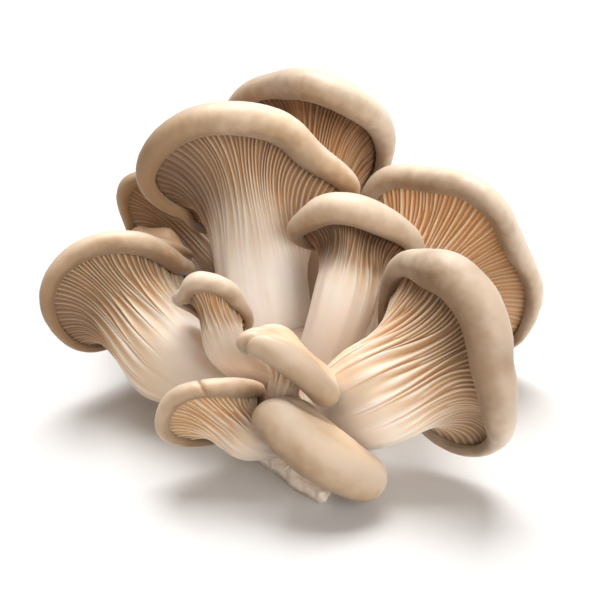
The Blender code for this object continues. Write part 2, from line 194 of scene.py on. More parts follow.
# The trimmed base, as in the part
BASE_MIDDLE = (3.5, 2.0)
BASE_HALF_WIDTH = 25.0
BASE_HALF_DEPTH = 38.0
BASE_HEIGHT = 30.0
BASE_FRONT_SHARE = 0.4    # the front end is this share as wide and high as the middle
BASE_FLAT = 0.86          # the cut's outline, as a share of the base's widest outline
BASE_SLANT = 0.12         # how far the front end leans to +X, as a share of its distance

# Painted shade on the base's top, where it sits in the crevice under the stems: the flesh darkens
# upwards, and these are where that starts and over what height, in metres
BASE_DARK_FROM = 0.007
BASE_DARK_SPAN = 0.005

# Where a gill's columns lie between its crest (0) and the next crest (1); 0.5 is the short gill
GILL_STEPS = np.array((0.0, 0.05, 0.1, 0.18, 0.3, 0.42, 0.5, 0.58, 0.7, 0.82, 0.9, 0.95))

# The camera: a long lens, half a metre away and 30 degrees above the surface
CAMERA_TARGET = (0.003, 0.0289, 0.0301)
CAMERA_DISTANCE = 0.5
CAMERA_RISE = math.radians(30)
LIGHT_TARGET = (0.0, 0.02, 0.03)


def unit(vector):
    """The direction of a vector."""
    vector = np.asarray(vector, float)
    return vector / np.linalg.norm(vector)


def turned(vector, start, end):
    """The vector turned by the smallest rotation that takes the direction start to end."""
    axis = np.cross(start, end)
    cosine = float(np.dot(start, end))
    return vector * cosine + np.cross(axis, vector) + axis * np.dot(axis, vector) / (1 + cosine)


def smooth(low, high, value):
    """0 below low, 1 above high, and an easy curve between."""
    share = np.clip((np.asarray(value, float) - low) / (high - low), 0, 1)
    return share * share * (3 - 2 * share)


def hermite(start, start_way, end, end_way, share):
    """Cubic from start to end, leaving and arriving along the two ways; share runs 0 to 1."""
    share = np.asarray(share, float)[:, None, None]
    square = share * share
    cube = square * share
    return ((2 * cube - 3 * square + 1) * start + (cube - 2 * square + share) * start_way
            + (3 * square - 2 * cube) * end + (cube - square) * end_way)


def close_to(angle, place):
    """1 at the place, in degrees, 0 opposite it, and a raised cosine between."""
    return 0.5 + 0.5 * np.cos(angle - math.radians(place))


def off_from(angle, place):
    """Angle from the place, in degrees, to each angle, the short way round in -pi..pi."""
    return np.angle(np.exp(1j * (angle - math.radians(place))))


def pocket_at(shape, angle):
    """How far the gills turn in behind the stem at each angle."""
    amount, place = shape["pocket"]
    return amount * close_to(angle, place) ** 2


def waving(terms, angle):
    """Sum of size * cos(count * (angle - place)) over the terms (count, size, place in degrees)."""
    return sum(size * np.cos(count * (angle - math.radians(place))) for count, size, place in terms)


def lumps(points, scale, seed, octaves=3):
    """Soft noise in -1..1 at the points: sums of sines along seeded directions, finer each time."""
    draw = np.random.default_rng(seed)
    total = np.zeros(points.shape[:-1])
    size, reach = 1.0, 0.0
    for octave in range(octaves):
        ways = draw.normal(size=(7, 3))
        ways /= np.linalg.norm(ways, axis=1)[:, None]
        turns = draw.uniform(0, 2 * math.pi, 7)
        wave = points @ (ways.T * (2 * math.pi * 2 ** octave / scale)) + turns
        total += size * np.sin(wave + 0.8 * np.sin(wave[..., ::-1] * 0.7)).mean(axis=-1)
        reach += size
        size *= 0.5
    return total / reach * 2.0


class Head:
    """The frame and the rim line of one mushroom's cap, at the angles round it that are asked for.

    The angles may be one row or a grid, and everything worked out from them has their shape.
    """

    def __init__(self, shape, angle, shrink=0.0):
        self.shape = shape
        self.angle = angle
        self.normal = unit(shape["facing"])
        fan = np.array(shape["fan"], float)
        self.along = unit(fan - np.dot(fan, self.normal) * self.normal)
        self.across = np.cross(self.normal, self.along)
        self.centre = np.array(shape["centre"], float)
        thick, thin, place = shape["rim"]
        full = thin + (thick - thin) * close_to(angle, place)
        behind = np.maximum(0.0, -np.cos(angle)) ** 2
        reach = 1 + waving(shape["lobes"], angle) + (shape.get("tight", 1.0) - 1) * behind
        self.inset = shape.get("inset", RIM_INSET) * full
        length, width = shape["half"]
        self.line = (self.centre + ((length * reach - full) * np.cos(angle))[..., None] * self.along
                     + ((width * reach - full) * np.sin(angle))[..., None] * self.across
                     + waving(shape["waves"], angle)[..., None] * self.normal)
        self.radius = full - shrink
        self.height = (self.line - self.centre) @ self.normal
        flat = self.line - self.centre - self.height[..., None] * self.normal
        self.reach = np.linalg.norm(flat, axis=-1)
        self.outward = flat / self.reach[..., None]
        self.tight = 0.5 - 0.5 * np.cos(angle)

    def at(self, out, up):
        """Points beside the rim line: out from the cap's middle and up along its normal."""
        return (self.line + np.multiply(out, 1.0)[..., None] * self.outward
                + np.multiply(up, 1.0)[..., None] * self.normal)


def ring(head, middle, radii, way):
    """Oval ring of the stem round its middle line, square to the way that the stem grows."""
    along = turned(head.along, head.normal, way)
    across = turned(head.across, head.normal, way)
    return (np.array(middle, float) + radii[0] * np.cos(head.angle)[..., None] * along
            + radii[1] * np.sin(head.angle)[..., None] * across)


def grow_stem(shape, angle, stem_rows):
    """Mean surface of the stem and the flare, for a grid of angles whose rows run root to rim."""
    root = np.array(shape["root"], float)
    neck = np.array(shape["neck"], float)
    rise = unit(neck - root)
    low = Head(shape, angle[:stem_rows])
    way = unit(rise + unit(low.centre - neck) + low.normal)
    length = np.linalg.norm(neck - root)
    share = np.linspace(0, 1, stem_rows + 1)[:-1]
    stem = hermite(ring(low, root, shape["root_radii"], rise), rise * length,
                   ring(low, neck, shape["neck_radii"], way), way * length, share)
    high = Head(shape, angle[stem_rows:])
    narrow = ring(high, neck, shape["neck_radii"], way)
    end = high.at(-high.inset + END_LAP, END_RISE * high.radius)
    span = np.linalg.norm(end - narrow, axis=-1)[..., None]
    pocket = pocket_at(shape, high.angle)
    slope = np.radians((16 + 52 * high.tight) * (1 - pocket) + 8 * pocket)[..., None]
    arrive = high.outward * np.cos(slope) + high.normal * np.sin(slope)
    leave = way * span * ((1 - 0.5 * high.tight) * (1 + 0.35 * pocket))[..., None]
    arrive = arrive * span * (1 + 0.4 * pocket)[..., None]
    share = np.linspace(0, 1, len(angle) - stem_rows)
    return np.concatenate([stem, hermite(narrow, leave, end, arrive, share)])


def gill_grid(shape, rows, seed):
    """Angles of every column on every row, and the random draws that the heights go on with.

    Each gill's crest sits near its even share of the circle. Down the stem, groups of one to
    three neighbours lean together, every crest wanders a little, and the columns between two
    crests spread evenly.
    """
    count = shape["gills"]
    draw = np.random.default_rng(seed)
    share = np.arange(rows)[:, None] / (rows - 1)
    sizes = draw.choice((1, 2, 2, 3), count)
    group = np.repeat(np.arange(count), sizes)[:count]
    index = np.arange(count)
    middle = np.bincount(group, index) / np.maximum(np.bincount(group), 1)
    lean = (middle[group] - index) * draw.uniform(0.35, 0.75, count)
    offset = draw.uniform(-0.14, 0.14, count) + lean * (1 - smooth(0.35, 0.85, share))
    turn, speed = draw.uniform(0, 2 * math.pi, count), draw.uniform(1.0, 2.6, count)
    offset = offset + 0.09 * np.sin(turn + 2 * math.pi * speed * share)
    crest = (index + offset) * 2 * math.pi / count
    following = np.concatenate([crest[:, 1:], crest[:, :1] + 2 * math.pi], axis=1)
    angle = crest[..., None] + GILL_STEPS * (following - crest)[..., None]
    return angle.reshape(rows, -1), draw


def gill_profile(shape, rows, stem, draw, sharp):
    """Height of every grid point from the groove (0) to a full crest (1).

    A crest falls off as exp(-(distance / width) ** 2), and its width shrinks from a broad fold
    on the stem to a thin plate at the rim. Full gills run down the stem to ends of their own;
    the short ones between them start part of the way out to the rim.
    """
    count = shape["gills"]
    share = np.arange(rows)[:, None] / (rows - 1)
    tall = draw.uniform(0.75, 1.05, count)
    turn, speed = draw.uniform(0, 2 * math.pi, count), draw.uniform(1.5, 4.0, count)
    tall = tall * (1 + 0.12 * np.sin(turn + 2 * math.pi * speed * share))
    foot = draw.uniform(0.1, 1.0, count) * stem
    full = tall * (0.25 + 0.75 * smooth(foot, foot + 0.3, share))
    start = draw.uniform(stem + 0.1, stem + 0.75 * (1 - stem), count)
    short = draw.uniform(0.55, 0.95, count) * smooth(start, start + 0.1, share)
    width = np.interp(share, (0, stem, 0.6, 0.8, 1), np.array((3.2, 2.8, 1.9, 1.2, 1)) * sharp)
    near = np.exp(-(GILL_STEPS / width[..., None]) ** 2)
    far = np.exp(-((1 - GILL_STEPS) / width[..., None]) ** 2)
    middle = np.exp(-((GILL_STEPS - 0.5) / (0.8 * width[..., None])) ** 2)
    after = np.roll(full, -1, axis=1)
    height = np.maximum(full[..., None] * near, after[..., None] * far)
    height = np.maximum(height, short[..., None] * middle)
    return height.reshape(rows, -1)


def stem_surface(name, shape, gills):
    """Rows of points for a gilled stem, their angles, and the values that its colours read."""
    rows = gills.rows if shape["gills"] > MANY_GILLS else int(gills.rows * SMALL_DETAIL)
    stem_rows = int(rows * STEM_SHARE)
    stem = stem_rows / rows
    seed = sorted(MUSHROOMS).index(name) + STEM_SEED
    angle, draw = gill_grid(shape, rows, seed)
    height = gill_profile(shape, rows, stem, draw, gills.sharpness)
    mean = grow_stem(shape, angle, stem_rows)
    share = np.arange(rows)[:, None] / (rows - 1)
    size = min(1.0, 0.35 + shape["half"][0] / 40) * (1 - 0.6 * shape["dusk"])
    lower, place = shape.get("run", (0.0, 0.0))
    fade = shape["fade"] - lower * close_to(angle, place)
    depth = gills.depth * IN_MM * size * (0.03 + 0.97 * smooth(fade - 0.15, fade + 0.22, share))
    depth = depth * (1 - 0.65 * smooth(0.95, 1.0, share))
    pocket = pocket_at(shape, angle)
    shallow = 1 - 0.75 * pocket * smooth(stem, stem + 0.2, share)
    # Painted shade in the pocket behind the stem, where the gills turn in.
    pocket_shade = shape.get("gloom", GLOOM) * pocket * smooth(0.4, 0.75, share)
    even = np.interp(share, (0, stem, 0.75, 1.0), (1.0, 1.0, 0.3, 0.0))
    fold = gills.folds * IN_MM * size * even
    turn = draw.uniform(0, 2 * math.pi, 4)
    flute = (np.cos(5 * angle + turn[0]) + 0.8 * np.cos(8 * angle + turn[1])
             + 0.6 * np.cos(13 * angle + turn[2])) / 2.4
    bumps = lumps(mean, STEM_LUMPS, seed) * 0.25 * fold
    down = np.gradient(mean, axis=0)
    sideways = np.roll(mean, -1, axis=1) - np.roll(mean, 1, axis=1)
    out = np.cross(sideways, down)
    out /= np.linalg.norm(out, axis=2)[..., None]
    rise = depth * shallow * (height - 0.45) + fold * flute + bumps
    points = mean + rise[..., None] * out
    points[..., 2] = np.maximum(points[..., 2], STEM_FLOOR)
    growth = np.where(share < fade, 0.5 * share / fade, 0.5 + 0.5 * (share - fade) / (1 - fade))
    return points, angle, {"crest": height, "along": growth, "pocket_shade": np.minimum(pocket_shade, 1)}


def closed_mesh(name, rows, ends, layers, uv, material):
    """Mesh through a grid of points whose columns close, with a fan of faces at each end.

    layers are named point values, and uv holds the grid's own two coordinates.
    """
    count, columns = rows.shape[:2]
    points = np.concatenate([rows.reshape(-1, 3), np.array(ends)]) * MM
    index = np.arange(count * columns).reshape(count, columns)
    right = np.roll(index, -1, axis=1)
    quads = np.stack([index[:-1], right[:-1], right[1:], index[1:]], axis=-1).reshape(-1, 4)
    first = np.stack([np.full(columns, count * columns), right[0], index[0]], axis=-1)
    last = np.stack([np.full(columns, count * columns + 1), index[-1], right[-1]], axis=-1)
    a, b, c = points[quads[:, 0]], points[quads[:, 1]], points[quads[:, 3]]
    volume = np.einsum("ij,ij->", a + points[quads[:, 2]], np.cross(b - a, c - a))
    if volume < 0:
        quads, first, last = quads[:, ::-1], first[:, ::-1], last[:, ::-1]
    mesh = bpy.data.meshes.new(name)
    mesh.vertices.add(len(points))
    mesh.vertices.foreach_set("co", points.ravel())
    corners = np.concatenate([quads.ravel(), first.ravel(), last.ravel()])
    sizes = np.concatenate([np.full(len(quads), 4), np.full(2 * columns, 3)])
    mesh.loops.add(len(corners))
    mesh.loops.foreach_set("vertex_index", corners.astype(np.int32))
    mesh.polygons.add(len(sizes))
    starts = np.concatenate([[0], np.cumsum(sizes)[:-1]])
    mesh.polygons.foreach_set("loop_start", starts.astype(np.int32))
    mesh.update(calc_edges=True)
    mesh.validate()
    mesh.shade_smooth()
    for layer, values in layers.items():
        flat = np.broadcast_to(values, (count, columns)).ravel()
        flat = np.concatenate([flat, flat[:1], flat[-1:]])
        numbers = mesh.attributes.new(layer, "FLOAT", "POINT").data
        numbers.foreach_set("value", flat.astype(np.float32))
    across, along = (np.broadcast_to(axis, (count, columns)).ravel() for axis in uv)
    place = np.stack([across, along], axis=-1)
    place = np.concatenate([place, place[:1], place[-1:]])
    used = np.empty(len(mesh.loops), np.int32)
    mesh.loops.foreach_get("vertex_index", used)
    mesh.uv_layers.new(name="growth").data.foreach_set("uv", place[used].astype(np.float32).ravel())
    mesh.materials.append(material)
    piece = bpy.data.objects.new(name, mesh)
    bpy.context.scene.collection.objects.link(piece)
    return piece


def dent(shape, angle):
    """How far the rim is pressed in at each angle: a bell curve for each of the shape's dents."""
    total = np.zeros_like(angle)
    for place, width, depth in shape.get("dents", ()):
        total += depth * np.exp(-(off_from(angle, place) / math.radians(width)) ** 2)
    return total


def wear_and_shade_at(shape, angle):
    """How much darker the skin is painted at each angle: raised cosines of painted shade on the
    side turned from the light, partly darker skin, and a painted line of shade in every dent.
    """
    bands = [amount * close_to(angle, place) ** 3 for amount, place in shape["wear_and_shade"]]
    for place, width, _ in shape.get("dents", ()):
        off = off_from(angle, place) / math.radians(width)
        bands.append(2.0 / width * np.exp(-2 * off ** 2))
    return sum(bands)


def cap_surface(name, shape, caps):
    """Rows of points over a cap: up its inner wall, round the rolled rim and over the dome.

    The rim is an arc of its own radius round the rim line, from the lip under it to its crown.
    Over the dome the height eases from the crown of the rim to the middle, and soft dimples
    press the whole skin in.
    """
    large = shape["half"][0] > LONG_CAP
    columns = caps.columns if large else int(caps.columns * SMALL_DETAIL)
    angle = np.arange(columns) * 2 * math.pi / columns
    head = Head(shape, angle, caps.trim * IN_MM)
    seed = sorted(MUSHROOMS).index(name) + CAP_SEED
    inner = head.at(-head.inset, END_RISE * head.radius + SKIN_RISE)
    lip = np.radians(shape.get("lip", -150 + 35 * head.tight)) * np.ones(columns)
    rows, under = [inner], [np.ones(columns)]
    for share in np.linspace(0, 1, caps.roll_rows):
        turn = lip + (math.pi / 2 - lip) * share
        rows.append(head.at(head.radius * np.cos(turn), head.radius * np.sin(turn)))
        under.append(np.full(columns, 1 - share))
    top = float(head.radius.mean()) + shape["crown"]
    for share in np.linspace(0, 1, caps.dome_rows + 1)[1:-1]:
        ease = smooth(0, 1, share)
        height = (head.height + head.radius) * (1 - ease) + top * ease
        rows.append(head.centre + (head.reach * (1 - share))[:, None] * head.outward
                    + height[:, None] * head.normal)
        under.append(np.full(columns, -share))
    rows, under = np.array(rows), np.array(under)
    held = smooth(-0.5, 0.0, under) * (1 - smooth(0.75, 1.0, under))
    rows = rows - (held * dent(shape, angle))[..., None] * head.outward
    down = np.gradient(rows, axis=0)
    out = np.cross(np.roll(rows, -1, axis=1) - np.roll(rows, 1, axis=1), down)
    length = np.linalg.norm(out, axis=2)[..., None]
    out = out / np.maximum(length, 1e-9)
    if np.sum(out[-1] @ head.normal) < 0:
        out = -out
    soft = 0.5 + 0.5 * lumps(rows, SKIN_DIMPLES, seed)
    fine = 0.5 + 0.5 * lumps(rows, SKIN_WRINKLES, seed + 1, 2)
    size = min(1.0, 0.3 + shape["half"][0] / 36)
    press = caps.dimples * IN_MM * size * (0.75 * soft + 0.25 * fine)
    press[0] = 0
    rows = rows - press[..., None] * out
    ends = [head.centre + SKIN_RISE * head.normal, head.centre + top * head.normal]
    return rows, ends, under, angle


def base_surface(base):
    """Rows of points over the lump: levels of an egg-shaped outline, torn rough at the front.

    Each level is the cut's outline shrunk by sqrt(1 - level ** 2.6), raised to its height, and
    pressed in by noise that is strong low at the front, where the flesh was torn.
    """
    columns, levels = 220, 70
    angle = np.arange(columns) * 2 * math.pi / columns
    forward = 0.5 - 0.5 * np.sin(angle)
    narrow = 1 - (1 - BASE_FRONT_SHARE) * forward ** 2
    rough = 1 + 0.03 * np.cos(5 * angle + 1.0) + 0.025 * np.cos(9 * angle)
    rows = []
    for level in np.linspace(0, 0.985, levels) ** 0.85:
        bulge = math.sqrt(1 - level ** 2.6) * min(1.0, BASE_FLAT + level)
        wide = (BASE_HALF_WIDTH * narrow * rough * bulge) * np.cos(angle)
        deep = (BASE_HALF_DEPTH * rough * bulge) * np.sin(angle)
        high = BASE_HEIGHT * level * (0.45 + 0.55 * narrow)
        rows.append(np.stack([BASE_MIDDLE[0] + wide - BASE_SLANT * deep, BASE_MIDDLE[1] + deep,
                              high], axis=1))
    rows = np.array(rows)
    middle = np.array((BASE_MIDDLE[0], BASE_MIDDLE[1], 8.0))
    inward = middle - rows
    inward[..., 2] *= 0.3
    inward /= np.linalg.norm(inward, axis=2)[..., None]
    torn = smooth(0.55, 0.95, forward) * (1 - smooth(8, 16, rows[..., 2]))
    press = 0.6 * (0.5 + 0.5 * lumps(rows, BASE_LUMPS, BASE_LUMPS_SEED))
    rags = np.clip(0.5 + 0.5 * lumps(rows, BASE_RAGS, BASE_RAGS_SEED, 5), 0, 1)
    press += base.tearing * IN_MM * torn * rags ** 0.7
    held = smooth(0.0, 1.0, rows[..., 2])[..., None] * 0.9 + 0.1
    rows = rows + press[..., None] * inward * held
    rows[..., 2] = np.maximum(rows[..., 2], 0.0)
    rows[0, :, 2] = 0.0
    ends = [rows[0].mean(axis=0), rows[-1].mean(axis=0) + (0, 0, 0.4)]
    return rows, ends, torn, angle


def node_tree(name):
    """A new material with its Principled shader, for the finishes to build on."""
    material = bpy.data.materials.new(name)
    material.use_nodes = True
    tree = material.node_tree
    return material, tree, tree.nodes["Principled BSDF"]


def add(tree, kind, label, **inputs):
    """A node of the kind, with its named sockets set to a value or joined to another socket."""
    node = tree.nodes.new(kind)
    node.label = label
    for socket, value in inputs.items():
        target = node.inputs[socket.replace("_", " ")]
        if isinstance(value, bpy.types.NodeSocket):
            tree.links.new(value, target)
        else:
            target.default_value = value
    return node


def read(tree, layer):
    """The socket with the number that the mesh holds in the named layer."""
    node = tree.nodes.new("ShaderNodeAttribute")
    node.attribute_name = layer
    return node.outputs["Fac"]


def ramp(tree, factor, stops):
    """Colour ramp through the stops (place, colour)."""
    node = tree.nodes.new("ShaderNodeValToRGB")
    tree.links.new(factor, node.inputs["Fac"])
    band = node.color_ramp
    while len(band.elements) < len(stops):
        band.elements.new(0.5)
    for element, (place, colour) in zip(band.elements, stops):
        element.position = place
        element.color = (*colour[:3], 1.0)
    return node.outputs["Color"]


def mix(tree, factor, first, second, blend="MIX"):
    """Blend of two colours."""
    node = tree.nodes.new("ShaderNodeMix")
    node.data_type = "RGBA"
    node.blend_type = blend
    for socket, value in ((node.inputs["Factor"], factor), (node.inputs["A"], first),
                          (node.inputs["B"], second)):
        if isinstance(value, bpy.types.NodeSocket):
            tree.links.new(value, socket)
        elif isinstance(value, float):
            socket.default_value = value
        else:
            socket.default_value = (*value[:3], 1.0)
    return node.outputs["Result"]


def sums(tree, operation, first, second):
    """Result of one arithmetic step on two numbers or sockets."""
    node = tree.nodes.new("ShaderNodeMath")
    node.operation = operation
    for socket, value in zip(node.inputs, (first, second)):
        if isinstance(value, bpy.types.NodeSocket):
            tree.links.new(value, socket)
        else:
            socket.default_value = value
    return node.outputs["Value"]


def noise(tree, place, scale, detail=4.0, stretch=(1, 1, 1)):
    """Noise in 0..1 on the place coordinates, stretched along its axes."""
    mapping = add(tree, "ShaderNodeMapping", "stretch", Vector=place, Scale=stretch)
    node = add(tree, "ShaderNodeTexNoise", "noise", Vector=mapping.outputs["Vector"], Scale=scale,
               Detail=detail)
    return node.outputs["Fac"]


def gill_finish(colours):
    """Moist flesh: pale crests over orange-brown grooves that pale out down the stem, with painted
    shade in the grooves, by the rim, in the pocket behind the stem and over heads in shade.
    """
    material, tree, shader = node_tree("gill flesh")
    place = tree.nodes.new("ShaderNodeTexCoord")
    crest, along, warmth = read(tree, "crest"), read(tree, "along"), read(tree, "warmth")
    pocket_shade, dusk = read(tree, "pocket_shade"), read(tree, "dusk")
    # Grooves and crests darken towards the rim, partly as painted shade.
    groove = ramp(tree, along, ((0.3, colours.stem), (0.5, colours.stem_streak),
                                (0.72, colours.groove), (1.0, colours.groove_deep)))
    reach = ramp(tree, along, ((0.45, (0, 0, 0)), (0.75, (1, 1, 1))))
    warm = sums(tree, "MULTIPLY", reach, warmth)
    low = mix(tree, warm, groove, colours.rust)
    high = ramp(tree, along, ((0.5, colours.stem), (0.8, colours.crest), (1.0, colours.crest_rim)))
    tinted = mix(tree, sums(tree, "MULTIPLY", warm, 0.75), high, colours.rust_crest)
    # Grooves painted darker than the crests: partly painted shade between the gills.
    edge = ramp(tree, crest, ((0.28, (0, 0, 0)), (0.85, (1, 1, 1))))
    colour = mix(tree, edge, low, tinted)
    fading = sums(tree, "SUBTRACT", 1.0, reach)
    warm_stem = sums(tree, "MULTIPLY", fading, warmth)
    colour = mix(tree, sums(tree, "MULTIPLY", warm_stem, 0.8), colour, colours.stem_tan)
    # Painted shade on the gills, in the shade colours: over all of a head that lies in shade (dusk,
    # lighter towards the rim), next to the rim (shaded) and in the pocket behind the stem.
    lighter = sums(tree, "MULTIPLY", reach, -0.2)
    head_shade = sums(tree, "MULTIPLY", dusk, sums(tree, "ADD", lighter, 1.0))
    outer = ramp(tree, along, ((0.62, (0, 0, 0)), (1.0, (1, 1, 1))))
    rim_shade = sums(tree, "MULTIPLY", outer, read(tree, "shaded"))
    painted_shade = sums(tree, "MAXIMUM", sums(tree, "MAXIMUM", pocket_shade, head_shade), rim_shade)
    colour = mix(tree, painted_shade, colour, mix(tree, edge, colours.shade, colours.shade_crest))
    fibres = noise(tree, place.outputs["UV"], 60.0, 3.0, (1.0, 0.06, 1.0))
    mottle = noise(tree, place.outputs["Object"], 110.0, 3.0)
    colour = mix(tree, sums(tree, "MULTIPLY", fibres, 0.15), colour, colours.stem_streak)
    stain = ramp(tree, mottle, ((0.55, (0, 0, 0)), (0.8, (1, 1, 1))))
    colour = mix(tree, sums(tree, "MULTIPLY", stain, 0.12), colour, colours.groove)
    tree.links.new(colour, shader.inputs["Base Color"])
    shader.inputs["Roughness"].default_value = 0.55
    shader.inputs["Specular IOR Level"].default_value = 0.35
    shader.inputs["Subsurface Weight"].default_value = 0.5
    shader.inputs["Subsurface Radius"].default_value = (1.0, 0.5, 0.25)
    shader.inputs["Subsurface Scale"].default_value = 0.003
    grain = add(tree, "ShaderNodeBump", "fibres", Strength=0.25, Distance=0.0004, Height=fibres)
    tree.links.new(grain.outputs["Normal"], shader.inputs["Normal"])
    return material


def skin_finish(colours):
    """Suede-like cap skin: tan, with a pale crown that is partly a painted highlight, darker
    towards the lip partly as painted shade, softly mottled.
    """
    material, tree, shader = node_tree("cap skin")
    place = tree.nodes.new("ShaderNodeTexCoord")
    under, tone = read(tree, "under"), read(tree, "tone")
    ragged = sums(tree, "MULTIPLY", noise(tree, place.outputs["Object"], 240.0, 3.0), 0.14)
    ragged = sums(tree, "ADD", ragged, 0.43)
    turn = sums(tree, "ADD", sums(tree, "MULTIPLY", under, 0.5), ragged)
    hue = mix(tree, read(tree, "cool"), colours.skin, colours.skin_cool)
    # Pale band round the crown of the roll: partly paler skin, partly a painted highlight.
    crown = ramp(tree, turn, ((0.42, (0, 0, 0)), (0.61, (1, 1, 1)), (0.78, (0, 0, 0))))
    around = mix(tree, crown, hue, colours.skin_pale)
    # Darker round the underside of the roll and darkest where it curls under: painted shade, partly
    # darker skin at the lip.
    below = ramp(tree, turn, ((0.7, (0, 0, 0)), (0.88, (1, 1, 1))))
    around = mix(tree, below, around, colours.skin_dark)
    curled = ramp(tree, turn, ((0.84, (0, 0, 0)), (0.96, (1, 1, 1))))
    around = mix(tree, curled, around, colours.skin_lip)
    cloud = noise(tree, place.outputs["Object"], 45.0, 4.0)
    pale = ramp(tree, cloud, ((0.42, (0, 0, 0)), (0.68, (1, 1, 1))))
    colour = mix(tree, sums(tree, "MULTIPLY", pale, 0.35), around, colours.skin_pale)
    # Tone darkens the skin: partly each cap's own darker skin, partly painted shade on caps that
    # lie in shade, on sides turned from the light and in dents.
    colour = mix(tree, sums(tree, "MULTIPLY", tone, 0.92), colour, colours.skin_dark)
    shade = noise(tree, place.outputs["Object"], 85.0, 5.0)
    spots = ramp(tree, shade, ((0.5, (0, 0, 0)), (0.72, (1, 1, 1))))
    colour = mix(tree, sums(tree, "MULTIPLY", spots, 0.12), colour, colours.skin_dark)
    fibres = noise(tree, place.outputs["UV"], 90.0, 4.0, (1.0, 0.12, 1.0))
    colour = mix(tree, sums(tree, "MULTIPLY", fibres, 0.06), colour, colours.skin_dark)
    tree.links.new(colour, shader.inputs["Base Color"])
    shader.inputs["Roughness"].default_value = 0.46
    shader.inputs["Specular IOR Level"].default_value = 0.4
    shader.inputs["Subsurface Weight"].default_value = 0.18
    shader.inputs["Subsurface Radius"].default_value = (1.0, 0.6, 0.35)
    shader.inputs["Subsurface Scale"].default_value = 0.002
    shader.inputs["Sheen Weight"].default_value = 0.12
    shader.inputs["Sheen Roughness"].default_value = 0.5
    pores = noise(tree, place.outputs["Object"], 900.0, 3.0)
    grain = add(tree, "ShaderNodeBump", "suede", Strength=0.12, Distance=0.0003, Height=pores)
    wrinkle = add(tree, "ShaderNodeBump", "wrinkles", Strength=0.2, Distance=0.0006, Height=shade,
                  Normal=grain.outputs["Normal"])
    tree.links.new(wrinkle.outputs["Normal"], shader.inputs["Normal"])
    return material


def base_finish(colours):
    """Torn flesh: off-white with brownish fibres where it was pulled from its bed, and painted
    shade darkening its top, which sits in the crevice under the stems.
    """
    material, tree, shader = node_tree("torn flesh")
    place = tree.nodes.new("ShaderNodeTexCoord")
    torn = read(tree, "torn")
    fibre = noise(tree, place.outputs["Object"], 260.0, 5.0)
    cloud = noise(tree, place.outputs["Object"], 70.0, 4.0)
    colour = mix(tree, sums(tree, "MULTIPLY", cloud, 0.9), colours.stem, colours.stem_streak)
    brown = ramp(tree, fibre, ((0.45, (0, 0, 0)), (0.7, (1, 1, 1))))
    stain = sums(tree, "ADD", sums(tree, "MULTIPLY", torn, 0.35), 0.12)
    colour = mix(tree, sums(tree, "MULTIPLY", brown, stain), colour, colours.groove)
    split = tree.nodes.new("ShaderNodeSeparateXYZ")
    tree.links.new(place.outputs["Object"], split.inputs["Vector"])
    # Painted shade: the flesh darkens upwards into the crevice under the stems.
    above = sums(tree, "SUBTRACT", split.outputs["Z"], BASE_DARK_FROM)
    inner = sums(tree, "MULTIPLY", above, 1 / BASE_DARK_SPAN)
    inner = ramp(tree, inner, ((0.0, (0, 0, 0)), (1.0, (0.6, 0.6, 0.6))))
    colour = mix(tree, inner, colour, colours.groove_deep)
    tree.links.new(colour, shader.inputs["Base Color"])
    shader.inputs["Roughness"].default_value = 0.7
    shader.inputs["Subsurface Weight"].default_value = 0.2
    shader.inputs["Subsurface Radius"].default_value = (1.0, 0.6, 0.35)
    shader.inputs["Subsurface Scale"].default_value = 0.002
    grain = add(tree, "ShaderNodeBump", "torn fibres", Strength=0.6, Distance=0.0008, Height=fibre)
    tree.links.new(grain.outputs["Normal"], shader.inputs["Normal"])
    return material


def colour_setting(name, description, default):
    """A colour that a user may change."""
    return bpy.props.FloatVectorProperty(name=name, description=description, subtype="COLOR",
                                         size=3, min=0.0, max=1.0, default=default)


class MUSHROOM_PG_colours(bpy.types.PropertyGroup):
    """Colours of the skins and the flesh, linear."""
    skin: colour_setting("Skin", "Main tan of a cap", (0.80, 0.56, 0.345))
    skin_cool: colour_setting("Cool skin", "Greyer cream of a young cap", (0.76, 0.64, 0.51))
    skin_pale: colour_setting("Pale skin", "Crown of a rolled rim", (0.865, 0.74, 0.60))
    # Dark skin and Lip are partly painted shade, round the underside of the roll and on sides
    # turned from the light; Pale skin is partly a painted highlight on the crown of the roll.
    skin_dark: colour_setting("Dark skin", "Shaded and older skin", (0.285, 0.168, 0.083))
    skin_lip: colour_setting("Lip", "Skin where it curls under", (0.20, 0.125, 0.072))
    stem: colour_setting("Stem", "Pale flesh of a stem", (0.95, 0.89, 0.84))
    stem_streak: colour_setting("Streaks", "Tan streaks down a stem", (0.88, 0.72, 0.54))
    crest: colour_setting("Crest", "Edge of a gill halfway", (0.91, 0.78, 0.62))
    # Outer crest, Groove and Deep groove are partly painted shade: the gills darker between them
    # and towards the rim.
    crest_rim: colour_setting("Outer crest", "Edge of a gill near the rim", (0.74, 0.56, 0.40))
    groove: colour_setting("Groove", "Between the gills", (0.64, 0.375, 0.18))
    groove_deep: colour_setting("Deep groove", "Between the gills near the rim",
                                (0.37, 0.20, 0.095))
    rust: colour_setting("Rust", "Between the gills of the warmest heads", (0.90, 0.50, 0.22))
    rust_crest: colour_setting("Rusty crest", "Crests of those gills", (0.98, 0.74, 0.50))
    # Shade and Shaded crest are painted shade on the gills: in the pocket behind a stem, next to
    # the rim and over heads that lie in shade.
    shade: colour_setting("Shade", "Grooves in the hollows behind a stem", (0.10, 0.038, 0.012))
    shade_crest: colour_setting("Shaded crest", "Crests in those hollows", (0.18, 0.088, 0.038))
    stem_tan: colour_setting("Tan stem", "Flesh of the warmest stems", (0.72, 0.53, 0.36))


